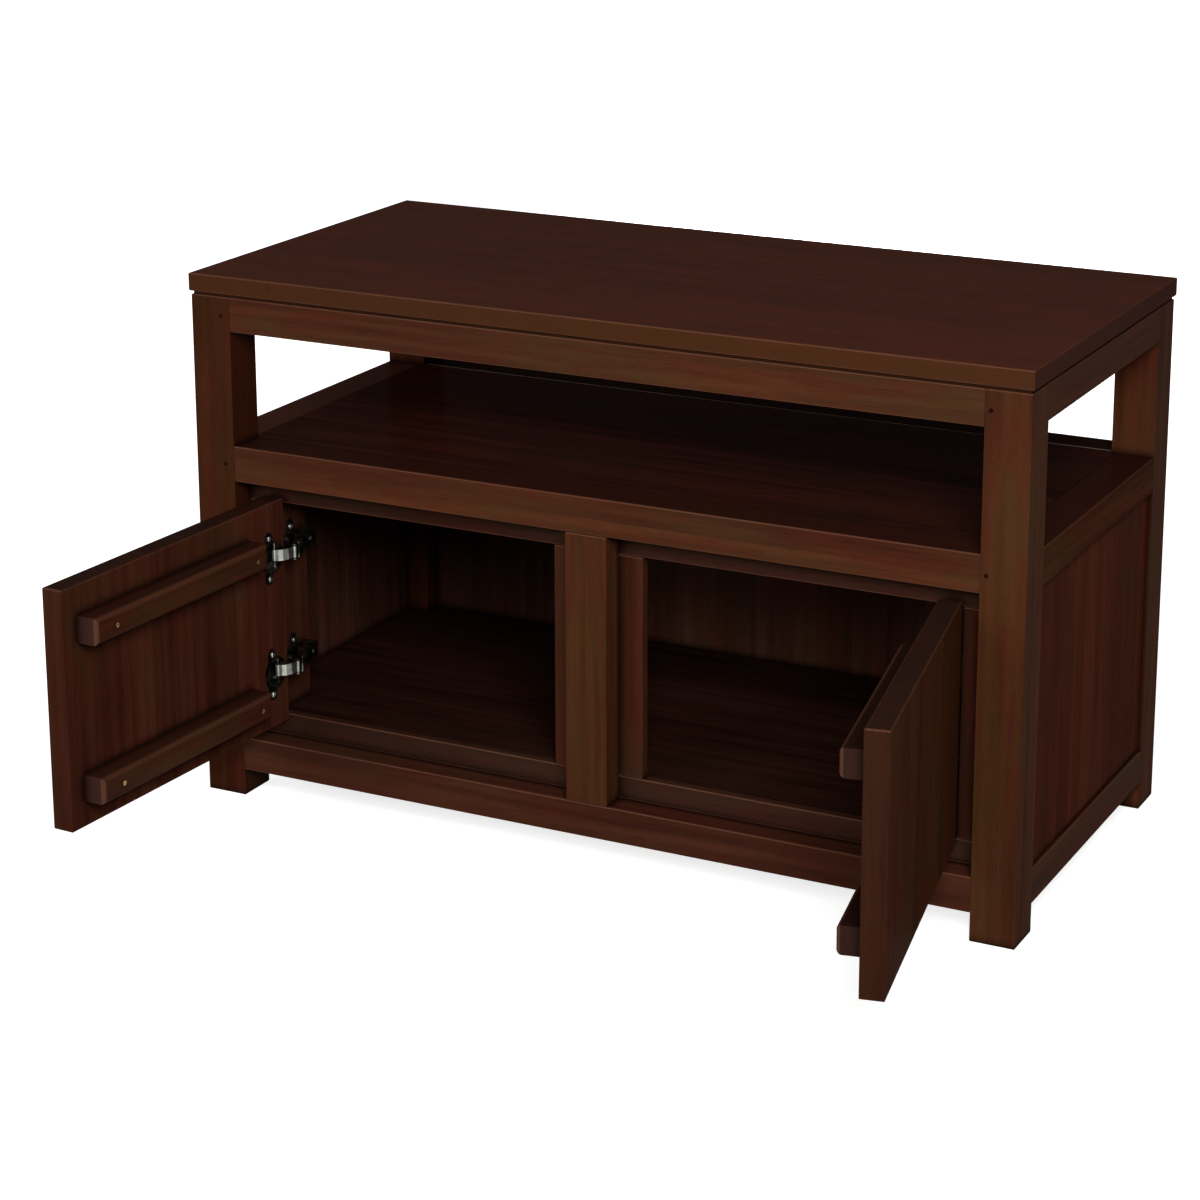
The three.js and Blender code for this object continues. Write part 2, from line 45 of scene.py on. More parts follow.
bpy.ops.object.select_all(action="DESELECT")
millimetre = 0.001
print("frame loaded:", len(nodes), "nodes")


# Turns an sRGB hex value into the linear colour that a socket takes
def linearColour(hexText):
    channels = []
    for start in (0, 2, 4):
        share = int(hexText[start:start + 2], 16) / 255
        channels.append(share / 12.92 if share <= 0.04045 else ((share + 0.055) / 1.055) ** 2.4)
    return (*channels, 1)


# Adds one node. What another node gives is linked. Any other value is set, on the node or on its socket.
def addNode(tree, kind, inputs=None):
    node = tree.nodes.new(kind)
    for name, value in (inputs or {}).items():
        if isinstance(value, bpy.types.NodeSocket):
            tree.links.new(value, node.inputs[name])
        elif isinstance(name, str) and hasattr(node, name):
            setattr(node, name, value)
        else:
            node.inputs[name].default_value = value
    return node


def newMaterial(name):
    material = bpy.data.materials.new(name)
    material.use_nodes = True
    tree = material.node_tree
    tree.nodes.clear()
    return material, tree


def giveMaterial(piece, material):
    piece.data.materials.clear()
    piece.data.materials.append(material)


# The turn that lays a pattern's X along the grain and its Y across the face of the board
def grainTurn(along, across):
    x = Vector(along).normalized()
    y = Vector(across).normalized()
    return Matrix((x, y, x.cross(y))).to_euler()


# How the two doors stand open, and where their hinge pins sit in them
doors = {
    "openAngles": {"left": math.radians(93), "right": math.radians(101)},
    "pinFromEdge": 14.1 * millimetre,
    "pinFromFront": 22.3 * millimetre,
}
panelLow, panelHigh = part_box("door_panel_left")
doorHeight = panelHigh.z - panelLow.z


# Takes places on a closed door, measured from its hinge edge, its front and its bottom, to the open door
def doorPlace(side):
    pin = jointPlaces[side + "_door_swing"]
    hinge = Matrix.Translation((-abs(pin.x), pin.y, panelLow.z))
    turn = Matrix.Rotation(-doors["openAngles"][side], 4, "Z")
    opened = hinge @ turn @ Matrix.Translation((-doors["pinFromEdge"], -doors["pinFromFront"], 0))
    if side == "left":
        return opened
    flip = Matrix.Translation((0, 0, 2 * panelLow.z + doorHeight)) @ Matrix.Rotation(math.pi, 4, "Y")
    return flip @ opened


doorPlaces = {side: doorPlace(side) for side in ("left", "right")}
doorAcross = {side: doorPlaces[side].to_3x3() @ Vector((1, 0, 0)) for side in ("left", "right")}

# Mahogany is red-brown with long soft streaks, short dark pores and faint growth rings. Sizes are in mm.
# A range says where in a pattern a tone starts and where it is full.
grain = {
    "streaks": {"length": 340, "width": 11, "roughness": 0.45},
    "bands": {"length": 900, "width": 38, "detail": 1.0},
    "blotches": {"length": 260, "width": 110},
    "mottles": {"length": 90, "width": 17, "detail": 3.0, "roughness": 0.55},
    # Real fibres are finer than the render shows, and real pores are 0.3 mm wide, so both are drawn coarser
    "fibres": {"length": 45, "width": 1.6},
    "pores": {"length": 16, "width": 1.1, "detail": 1.0},
    "heart": {"length": 520, "width": 95, "detail": 3.0},
    "heartWander": 75,
    "ringSpacing": 13,
    "ringDepth": 55,
    "ringSharpness": 2.0,
    "staveShift": (1700, 130, 90),
    "streakRange": (0.76, 1.24),
    "blotchRange": (0.38, 0.62),
    "mottleRange": (0.42, 0.66),
    "fibreRange": (0.25, 0.75),
    "fibreShade": (0.92, 1.08),
    "poreRange": (0.62, 0.74),
    "poreShade": 0.75,
    "reliefDepth": 0.12,
    "fibreRelief": 0.4,
    "glossRange": (0.2, 0.8),
    "glossSpread": (-0.04, 0.06),
    "knotRadius": 3.2,
    "knotRange": (1.4, 0.5),
}

# Where hands, sandpaper and the wiping cloth left their marks, with painted shade in creases and on ledges
# and a painted highlight on front arrises. The ranges are of how far a face turns one way, and for a crease
# of how open the corner is.
# The reach of a crease is in mm.
wearAndPaintedLight = {
    "frontHighlightRange": (-0.25, -0.6),
    "frontHighlightShare": (0.3, 1.0),
    "arrisRange": (0.985, 0.93),
    "arrisFibres": (0.2, 0.7),
    "arrisShare": (0.5, 1.0),
    "endRange": (0.5, 0.8),
    "endShare": 0.8,
    "edgeRange": (0.6, 0.9),
    "ledgeRange": (0.7, 0.95),
    "creaseReach": 12,
    "creaseRange": (0.5, 0.93),
    "creaseSamples": 8,
}


def inMetres(place):
    return tuple(part * millimetre for part in place)


# Mixes two colours, each a hex value or what another node gives
def mixColour(tree, share, first, second, blend="MIX"):
    first, second = (linearColour(side) if isinstance(side, str) else side for side in (first, second))
    return addNode(tree, "ShaderNodeMix", {
        "data_type": "RGBA", "blend_type": blend, 0: share, 6: first, 7: second,
    }).outputs[2]


# Turns the stretch from low to high into the stretch from first to last
def shareOf(tree, value, low, high, first=0.0, last=1.0):
    return addNode(tree, "ShaderNodeMapRange", {
        "Value": value, "From Min": low, "From Max": high, "To Min": first, "To Max": last,
    }).outputs[0]


def mathNode(tree, operation, first, second=0.0):
    return addNode(tree, "ShaderNodeMath", {"operation": operation, 0: first, 1: second}).outputs[0]


# Maths on vectors. A length or a distance comes out as one number.
def vectorNode(tree, operation, *operands):
    node = addNode(tree, "ShaderNodeVectorMath", {"operation": operation, **dict(enumerate(operands))})
    return node.outputs["Value" if operation in ("LENGTH", "DISTANCE") else "Vector"]


# A soft random pattern with marks of this length and width in millimetres, drawn out along the first axis
def noiseOf(tree, place, length, width, detail=2.0, roughness=0.5, output=0):
    scale = [1 / (size * millimetre) for size in (length, width, width)]
    scaled = addNode(tree, "ShaderNodeMapping", {"Scale": scale, "Vector": place}).outputs[0]
    return addNode(tree, "ShaderNodeTexNoise", {
        "Scale": 1.0, "Detail": detail, "Roughness": roughness, "Vector": scaled,
    }).outputs[output]


# Each strip of a board's width is another piece of timber. Gives the place in it and its own chance.
def stavesOf(tree, look, board):
    across = addNode(tree, "ShaderNodeSeparateXYZ", {"Vector": board}).outputs["Y"]
    strip = mathNode(tree, "DIVIDE", across, look["staveWidth"] * millimetre)
    stripNumber = mathNode(tree, "ADD", mathNode(tree, "FLOOR", strip), look["seed"])
    chance = addNode(tree, "ShaderNodeTexWhiteNoise", {"noise_dimensions": "1D", "W": stripNumber}).outputs
    timber = vectorNode(tree, "MULTIPLY_ADD", chance["Color"], inMetres(grain["staveShift"]), board)
    return timber, chance["Value"]


# Growth rings round a heart that lies under the face and wanders along the grain
def ringsOf(tree, timber):
    drift = noiseOf(tree, timber, **grain["heart"], output="Color")
    wander = inMetres((0, grain["heartWander"], grain["heartWander"]))
    heart = vectorNode(tree, "MULTIPLY_ADD", drift, wander, inMetres((0, 0, grain["ringDepth"])))
    fromHeart = vectorNode(tree, "ADD", timber, heart)
    radius = vectorNode(tree, "LENGTH", vectorNode(tree, "MULTIPLY", fromHeart, (0, 1, 1)))
    turns = mathNode(tree, "MULTIPLY", radius, 2 * math.pi / (grain["ringSpacing"] * millimetre))
    rings = shareOf(tree, mathNode(tree, "SINE", turns), -1.0, 1.0)
    return mathNode(tree, "POWER", rings, grain["ringSharpness"])


# The stain: dark in the soft streaks and the rings, olive where it took less and red in small mottles.
# Staves, fibres and pores each shade it.
def stainOf(tree, look, board, timber, chance, fibres, pores):
    streaks = noiseOf(tree, timber, **grain["streaks"])
    bands = noiseOf(tree, timber, **grain["bands"])
    blotches = noiseOf(tree, board, **grain["blotches"])
    mottles = noiseOf(tree, timber, **grain["mottles"])
    paleShare = shareOf(tree, mathNode(tree, "ADD", streaks, bands), *grain["streakRange"])
    oliveShare = shareOf(tree, blotches, *grain["blotchRange"], 0.0, look["blotch"])
    redShare = shareOf(tree, mottles, *grain["mottleRange"], 0.0, look["mottle"])
    ringShare = mathNode(tree, "MULTIPLY", ringsOf(tree, timber), look["rings"])
    stain = mixColour(tree, paleShare, look["dark"], look["pale"])
    stain = mixColour(tree, oliveShare, stain, look["olive"])
    stain = mixColour(tree, redShare, stain, look["red"])
    stain = mixColour(tree, ringShare, stain, look["dark"])
    contrast = look["staveContrast"]
    shade = shareOf(tree, chance, 0.0, 1.0, 1 - contrast, 1 + contrast)
    fibreShade = shareOf(tree, fibres, *grain["fibreRange"], *grain["fibreShade"])
    shade = mathNode(tree, "MULTIPLY", shade, fibreShade)
    poreShade = shareOf(tree, pores, 0.0, 1.0, 1.0, grain["poreShade"])
    shade = mathNode(tree, "MULTIPLY", shade, poreShade)
    return mixColour(tree, 1.0, stain, shade, "MULTIPLY")


# Cut ends drink more stain. Narrow edges get their own colour: real stain on some woods, painted shade on
# others.
# Upward ledges and creases found by ambient occlusion are painted darker, as painted shade. Arrises are
# rubbed paler where the stain is sanded back, and front-facing ones paler still, as a painted highlight.
# Which way a face looks is taken in the room, with the doors as they stand at rest.
def stainWearAndPaintedLight(tree, look, turn, stain, fibres):
    outwards = addNode(tree, "ShaderNodeNewGeometry").outputs["True Normal"]
    roomFacing = addNode(tree, "ShaderNodeSeparateXYZ", {"Vector": outwards}).outputs
    turned = addNode(tree, "ShaderNodeMapping", {
        "vector_type": "VECTOR", "Rotation": turn, "Vector": outwards,
    }).outputs[0]
    unsigned = vectorNode(tree, "ABSOLUTE", turned)
    boardFacing = addNode(tree, "ShaderNodeSeparateXYZ", {"Vector": unsigned}).outputs
    # Ambient occlusion finds creases and corners, where shade falls; they are painted darker there, as
    # painted shade
    corners = addNode(tree, "ShaderNodeAmbientOcclusion", {
        "samples": wearAndPaintedLight["creaseSamples"], "Distance": wearAndPaintedLight["creaseReach"] * millimetre,
    }).outputs["AO"]
    cutEnd = shareOf(tree, boardFacing["X"], *wearAndPaintedLight["endRange"], 0.0, wearAndPaintedLight["endShare"])
    # Narrow faces: real stain on the top and the doors, painted shade on the left legs' sides and the right
    # battens' tops
    edge = shareOf(tree, boardFacing["Y"], *wearAndPaintedLight["edgeRange"], 0.0, look["edge"])
    # Upward faces are painted darker, as painted shade
    ledge = shareOf(tree, roomFacing["Z"], *wearAndPaintedLight["ledgeRange"], 0.0, look["ledge"])
    creaseShadeShare = shareOf(tree, corners, *wearAndPaintedLight["creaseRange"], look["creaseShadeShare"], 0.0)
    squareness = mathNode(tree, "MAXIMUM", boardFacing["X"], boardFacing["Y"])
    squareness = mathNode(tree, "MAXIMUM", squareness, boardFacing["Z"])
    arris = shareOf(tree, squareness, *wearAndPaintedLight["arrisRange"], 0.0, look["wearAndPaintedLight"])
    fibreBreakup = shareOf(tree, fibres, *wearAndPaintedLight["arrisFibres"], *wearAndPaintedLight["arrisShare"])
    arris = mathNode(tree, "MULTIPLY", arris, fibreBreakup)
    # Front-facing arrises are made paler still: a painted highlight, on top of the real rubbing
    frontHighlight = shareOf(tree, roomFacing["Y"], *wearAndPaintedLight["frontHighlightRange"], *wearAndPaintedLight["frontHighlightShare"])
    arris = mathNode(tree, "MULTIPLY", arris, frontHighlight)
    stain = mixColour(tree, cutEnd, stain, look["endGrain"])
    stain = mixColour(tree, edge, stain, look["edgeStain"])
    stain = mixColour(tree, ledge, stain, look["ledgeStain"])
    stain = mixColour(tree, creaseShadeShare, stain, look["creaseShade"])
    return mixColour(tree, arris, stain, look["wornAndHighlit"])


# One stained board or post. The look says which way its grain runs and how its staves and colours differ.
def makeWood(name, look):
    material, tree = newMaterial(name)
    turn = grainTurn(look["along"], look["across"])
    objectPlace = addNode(tree, "ShaderNodeTexCoord").outputs["Object"]
    board = addNode(tree, "ShaderNodeMapping", {
        "Rotation": turn, "Location": (look["seed"], 0, 0), "Vector": objectPlace,
    }).outputs[0]
    timber, chance = stavesOf(tree, look, board)
    fibres = noiseOf(tree, timber, **grain["fibres"])
    pores = shareOf(tree, noiseOf(tree, timber, **grain["pores"]), *grain["poreRange"])
    stain = stainOf(tree, look, board, timber, chance, fibres, pores)
    stain = stainWearAndPaintedLight(tree, look, turn, stain, fibres)
    if look["knot"]:
        away = vectorNode(tree, "DISTANCE", objectPlace, look["knot"])
        reach = grain["knotRadius"] * millimetre
        knot = shareOf(tree, away, *(share * reach for share in grain["knotRange"]))
        stain = mixColour(tree, knot, stain, look["endGrain"])

    relief = mathNode(tree, "SUBTRACT", mathNode(tree, "MULTIPLY", fibres, grain["fibreRelief"]), pores)
    bump = addNode(tree, "ShaderNodeBump", {
        "Strength": look["relief"], "Distance": grain["reliefDepth"] * millimetre, "Height": relief,
    })
    gloss = [look["roughness"] + change for change in grain["glossSpread"]]
    shader = addNode(tree, "ShaderNodeBsdfPrincipled", {
        "IOR": 1.5,
        "Specular IOR Level": 0.0,
        "Coat Weight": look["coat"],
        "Coat Roughness": look["coatRoughness"],
        "Base Color": stain,
        "Roughness": shareOf(tree, fibres, *grain["glossRange"], *gloss),
        "Normal": bump.outputs[0],
    })
    addNode(tree, "ShaderNodeOutputMaterial", {"Surface": shader.outputs[0]})
    return material


# What every wood starts from: a red-brown stain under satin lacquer. Stave widths are in mm.
satinLacquer = {
    "dark": "3d1e14",
    "pale": "5c3420",
    "olive": "4c3520",
    "wornAndHighlit": "6e4836",
    "endGrain": "43241b",
    # The worn colour is for arrises: rubbed stain, and on front arrises a painted highlight
    "red": "562419",
    # The crease colour and share are painted shade in creases and corners
    "creaseShade": "150b08",
    # The edge colour is real stain on some woods and painted shade on others
    "edgeStain": "3a2418",
    # The ledge colour and share are painted shade on upward faces
    "ledgeStain": "26130d",
    "creaseShadeShare": 0.85,
    "edge": 0.0,
    "ledge": 0.0,
    "blotch": 0.75,
    "mottle": 0.5,
    "rings": 0.2,
    "staveWidth": 400,
    "staveContrast": 0.08,
    "wearAndPaintedLight": 0.7,
    "relief": 0.25,
    "roughness": 0.44,
    "coat": 0.03,
    "coatRoughness": 0.3,
    "seed": 0.0,
    "along": (1, 0, 0),
    "across": (0, 0, 1),
    "knot": None,              # or the place of one small knot, in metres
}
xAxis, yAxis, zAxis = (1, 0, 0), (0, 1, 0), (0, 0, 1)

# Each wood names what differs from the satin lacquer, and the nodes that are made of it
woods = {
    # Sprayed top: plum-brown, smoother and glossier than the frame, with long faint staves
    "topMahoganyLacquered": (
        {"across": yAxis, "dark": "432217", "pale": "4b261b", "olive": "462618", "staveWidth": 92,
         "staveContrast": 0.05, "rings": 0.1, "blotch": 0.35, "seed": 3.0, "relief": 0.15,
         "edgeStain": "4a2e18", "edge": 0.6, "coat": 0.022, "knot": (-0.3956, -0.0586, 0.6141)},
        ["top_board"],
    ),
    # Rails: straight grain along the rail, with soft orange and olive streaks; the bottom ones are a darker
    # copy, painted shade low down where less light falls
    "railMahoganyAcross": ({"seed": 11.0}, ["top_rail_front", "top_rail_rear"]),
    "bottomRailMahoganyShaded": (
        {"seed": 11.0, "dark": "381c14", "pale": "542f20", "olive": "463122", "red": "4e2119"},
        ["bottom_rail_front", "bottom_rail_rear"],
    ),
    "railMahoganyBack": (
        {"along": yAxis, "seed": 17.0},
        ["bottom_rail_left", "bottom_rail_right", "top_rail_left", "top_rail_right"],
    ),
    # Rails round the shelf: their upper faces are painted darker, as painted shade like the shaded shelf,
    # the left one least, where more light falls
    "shelfRailMahoganyAcross": (
        {"seed": 13.0, "ledgeStain": "2d130e", "ledge": 0.9, "coat": 0.008},
        ["shelf_rail_front"],
    ),
    # The rear one: its top painted nearly black as painted shade at the back of the shelf, and a pale line
    # along its arris at the seam with the shelf as a painted highlight
    "shelfRailMahoganyRearShadeAndHighlight": (
        {"seed": 15.0, "ledgeStain": "1f110d", "ledge": 0.9, "coat": 0.004, "creaseShadeShare": 0.0,
         "wornAndHighlit": "b8ab9c", "wearAndPaintedLight": 1.0},
        ["shelf_rail_rear"],
    ),
    "shelfRailMahoganyBack": (
        {"along": yAxis, "seed": 19.0, "ledgeStain": "2d130e", "ledge": 0.9, "coat": 0.008},
        ["shelf_rail_right"],
    ),
    "shelfRailMahoganyLeft": (
        {"along": yAxis, "seed": 21.0, "ledgeStain": "3f231b", "ledge": 0.9, "coat": 0.012, "creaseShadeShare": 1.0},
        ["shelf_rail_left"],
    ),
    # Legs: quarter-sawn posts, warm orange-brown with vertical streaks
    "legMahogany": (
        {"along": zAxis, "across": xAxis, "dark": "3b1d12", "pale": "60361f", "olive": "4e341c",
         "seed": 23.0},
        ["leg_front_right", "leg_rear_right", "centre_stile"],
    ),
    # The left legs: a darker copy of the leg wood with darker red sides, painted shade for the dimmer light
    # on the left
    "leftLegMahoganyShaded": (
        {"along": zAxis, "across": xAxis, "dark": "33160c", "pale": "532a17", "olive": "432813",
         "seed": 29.0, "edgeStain": "36150c", "edge": 0.65},
        ["leg_front_left", "leg_rear_left"],
    ),
    # Shelf: glued staves, red and smooth, its colour darkened as painted shade under the top
    "shelfMahoganyShaded": (
        {"across": yAxis, "dark": "240e0a", "pale": "3d1b14", "olive": "2b1810", "red": "3b1811",
         "staveWidth": 85, "staveContrast": 0.14, "seed": 31.0, "coat": 0.006, "coatRoughness": 0.2,
         "relief": 0.2},
        ["shelf_board"],
    ),
    # Cupboard floor: the same staves, darkened as painted shade inside the cupboard
    "floorMahoganyShaded": (
        {"across": yAxis, "dark": "1f0f0b", "pale": "36201a", "olive": "2a1810", "red": "371a12",
         "staveWidth": 85, "staveContrast": 0.14, "seed": 37.0, "coat": 0.012, "coatRoughness": 0.2,
         "relief": 0.2},
        ["floor_board"],
    ),
    # Side panels: upright boards, dark red-brown, the left one less red
    "rightSideMahogany": (
        {"along": zAxis, "across": yAxis, "dark": "451b10", "pale": "652c18", "olive": "4c2914",
         "staveWidth": 78, "staveContrast": 0.22, "seed": 41.0, "coat": 0.018},
        ["side_panel_right"],
    ),
    "leftSideMahogany": (
        {"along": zAxis, "across": yAxis, "dark": "331e18", "pale": "4c3126", "olive": "402a1c",
         "staveWidth": 78, "staveContrast": 0.22, "seed": 43.0},
        ["side_panel_left"],
    ),
    # Back panel: upright boards, barely lit
    "backMahogany": (
        {"along": zAxis, "across": xAxis, "dark": "37231d", "pale": "573a31", "staveWidth": 64,
         "staveContrast": 0.16, "seed": 47.0},
        ["back_panel"],
    ),
    # Stop strips and hinge posts: plain stock, painted greyer and darker as painted shade for the shade
    # behind the doors
    "stopMahoganyAcrossShaded": (
        {"dark": "341a13", "pale": "482a1f", "olive": "3b2a20", "red": "462119", "seed": 53.0},
        ["door_stop_bottom", "door_stop_top"],
    ),
    "stopMahoganyUprightShaded": (
        {"along": zAxis, "across": xAxis, "dark": "3a1c12", "pale": "502c1e", "olive": "422d1f",
         "red": "4f2217", "seed": 59.0},
        ["door_stop_left", "door_stop_right", "door_stop_centre", "hinge_post_left", "hinge_post_right"],
    ),
    # Door panels: upright staves that turn with the door
    "leftDoorMahogany": (
        {"along": zAxis, "across": doorAcross["left"], "dark": "3b1b13", "pale": "532c1f", "staveWidth": 74,
         "staveContrast": 0.13, "seed": 61.0, "endGrain": "1f100b", "coat": 0.015, "blotch": 0.5,
         "mottle": 0.4},
        ["door_panel_left"],
    ),
    "rightDoorMahogany": (
        {"along": zAxis, "across": doorAcross["right"], "dark": "3f1e12", "pale": "55301e",
         "olive": "45311e", "red": "5c2815", "staveWidth": 74, "staveContrast": 0.14, "seed": 67.0,
         "endGrain": "231613", "edgeStain": "2f1b13", "edge": 0.7, "coat": 0.018},
        ["door_panel_right"],
    ),
    # Battens: grain along the batten. Their upper faces are painted darker as painted shade; the left ones'
    # cut ends are painted paler as a painted sheen, the right ones' ends and edges darker as painted shade
    "leftBattenMahoganySheenEnds": (
        {"along": doorAcross["left"], "across": zAxis, "dark": "3b1b13", "pale": "4f2b1f", "seed": 71.0,
         "endGrain": "402a25", "ledgeStain": "2a1410", "ledge": 0.6},
        ["door_batten_lower_left", "door_batten_upper_left"],
    ),
    "rightBattenMahoganyShaded": (
        {"along": doorAcross["right"], "across": zAxis, "dark": "3b1b13", "pale": "4f2b1f", "seed": 73.0,
         "endGrain": "2f1e1a", "edgeStain": "2a1812", "edge": 0.4, "ledgeStain": "1c100d",
         "ledge": 0.85},
        ["door_batten_lower_right", "door_batten_upper_right"],
    ),
}
for woodName, (changes, woodNodes) in woods.items():
    wood = makeWood(woodName, {**satinLacquer, **changes})
    for nodeName in woodNodes:
        giveMaterial(nodes[nodeName], wood)
print("woods made:", len(woods))

# Nickel plate is a neutral grey, paler where a link or a screw head was polished. On the pressed cups, arms
# and plates it is dull and dark, with drawing marks. Brass is yellow, and bright on the rubbed heads.
metals = {
    "nickelPolished": {
        "bright": "b4b5ae", "dull": "94968f", "roughness": 0.36, "markSize": 1.6, "relief": 0.03,
    },
    "nickelPressed": {
        "bright": "85857d", "dull": "23231f", "roughness": 0.3, "markSize": 2.4, "relief": 0.1,
    },
    "brassWoodScrew": {
        "bright": "d9b184", "dull": "a57d50", "roughness": 0.5, "markSize": 1.2, "relief": 0.05,
    },
}
plating = {
    "markStretch": 6,
    "markDetail": 3.0,
    "markRoughness": 0.6,
    "patchSpread": 5,
    "patchRange": (0.38, 0.58),
    "roughRange": (0.2, 0.8),
    "roughSpread": (-0.06, 0.14),
    "reliefDepth": 0.05,
}


def makeMetal(name):
    look = metals[name]
    material, tree = newMaterial(name)
    place = addNode(tree, "ShaderNodeTexCoord").outputs["Object"]
    markLength = look["markSize"] * plating["markStretch"]
    marks = noiseOf(
        tree, place, markLength, look["markSize"], plating["markDetail"], plating["markRoughness"],
    )
    patchSize = look["markSize"] * plating["patchSpread"]
    patches = noiseOf(tree, place, patchSize, patchSize)
    bump = addNode(tree, "ShaderNodeBump", {
        "Strength": look["relief"], "Distance": plating["reliefDepth"] * millimetre, "Height": marks,
    })
    dullShare = shareOf(tree, patches, *plating["patchRange"])
    gloss = [look["roughness"] + change for change in plating["roughSpread"]]
    shader = addNode(tree, "ShaderNodeBsdfPrincipled", {
        "Metallic": 1.0,
        "Base Color": mixColour(tree, dullShare, look["bright"], look["dull"]),
        "Roughness": shareOf(tree, marks, *plating["roughRange"], *gloss),
        "Normal": bump.outputs[0],
    })
    addNode(tree, "ShaderNodeOutputMaterial", {"Surface": shader.outputs[0]})
    return material


polished = makeMetal("nickelPolished")
pressed = makeMetal("nickelPressed")
brass = makeMetal("brassWoodScrew")
for nodeName, node in nodes.items():
    if nodeName.startswith("hinge_link"):
        giveMaterial(node, polished)
    elif nodeName.startswith("hinge_") and not nodeName.startswith("hinge_post"):
        giveMaterial(node, pressed)
print("metals made")

# Small hardware that shows on the wood and on the hinges, all sizes in millimetres
crossHead = {
    "slotLength": 0.5,         # shares of the head's width and height
    "slotWidth": 0.15,
    "slotDepth": 0.6,
    "steps": 32,
    "domeRings": 4,
    "crownShare": 0.5,         # how much of one more ring the flat crown takes up
    "smoothAngle": math.radians(40),
}
facingUp = 0.9                 # a face whose normal rises this much is a top


# Models one cross-head screw that stands on z = 0 with its domed head up
def modelScrew(look):
    radius = look["headRadius"] * millimetre
    height = look["headHeight"] * millimetre
    dome = look["dome"] * millimetre
    bpy.ops.mesh.primitive_cylinder_add(
        vertices=crossHead["steps"], radius=radius, depth=height, location=(0, 0, height / 2),
    )
    screw = bpy.context.object
    bpy.ops.object.transform_apply(location=True, rotation=True, scale=True)
    for face in screw.data.polygons:
        face.select = face.normal.z > facingUp
    bpy.ops.object.mode_set(mode="EDIT")
    bpy.ops.mesh.select_mode(type="FACE")
    ringAngle = math.pi / 2 / (crossHead["domeRings"] + crossHead["crownShare"])
    for ring in range(crossHead["domeRings"]):
        here, there = ring * ringAngle, (ring + 1) * ringAngle
        bpy.ops.mesh.inset(thickness=radius * (math.cos(here) - math.cos(there)))
        bpy.ops.transform.translate(value=(0, 0, dome * (math.sin(there) - math.sin(here))))
    bpy.ops.object.mode_set(mode="OBJECT")
    top = height + dome
    for turn in (0, math.pi / 2):
        bpy.ops.mesh.primitive_cube_add(size=1, location=(0, 0, top), rotation=(0, 0, turn))
        slot = bpy.context.object
        slot.scale = (
            2 * radius * crossHead["slotLength"],
            2 * radius * crossHead["slotWidth"],
            2 * (height + dome) * crossHead["slotDepth"],
        )
        cutter = screw.modifiers.new("crossSlot", "BOOLEAN")
        cutter.operation = "DIFFERENCE"
        cutter.solver = "EXACT"
        cutter.object = slot
        bpy.context.view_layer.objects.active = screw
        bpy.ops.object.modifier_apply(modifier=cutter.name)
        bpy.data.objects.remove(slot)
    bpy.ops.object.select_all(action="DESELECT")
    screw.select_set(True)
    bpy.ops.object.shade_smooth_by_angle(angle=crossHead["smoothAngle"])
    bpy.ops.object.select_all(action="DESELECT")
    return screw


# Copies a piece to each place, each copy with its own mesh, and makes it ride on a body
def placeCopies(pattern, name, places, body):
    for number, place in enumerate(places, 1):
        piece = pattern.copy()
        piece.data = pattern.data.copy()
        piece.data.transform(place)
        piece.name = f"{name}_{number}"
        bpy.context.scene.collection.objects.link(piece)
        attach(piece, body)


def at(*millimetres):
    return Matrix.Translation(Vector(millimetres) * millimetre)


towardsY = Matrix.Rotation(-math.pi / 2, 4, "X")
sides = ("left", "right")

# Brass screws on the battens' centre lines, two to a batten
battenScrews = {
    "headRadius": 2.7,
    "headHeight": 0.4,
    "dome": 1.5,
    "fromHingeEdge": (87, 333),
    "fromFront": 52.8,
    "heights": (44, 221),
}
pattern = modelScrew(battenScrews)
giveMaterial(pattern, brass)
for side in sides:
    places = [
        doorPlaces[side] @ at(along, battenScrews["fromFront"], height) @ towardsY
        for along in battenScrews["fromHingeEdge"]
        for height in battenScrews["heights"]
    ]
    placeCopies(pattern, "batten_screw_" + side, places, side + "_door")
bpy.data.objects.remove(pattern)

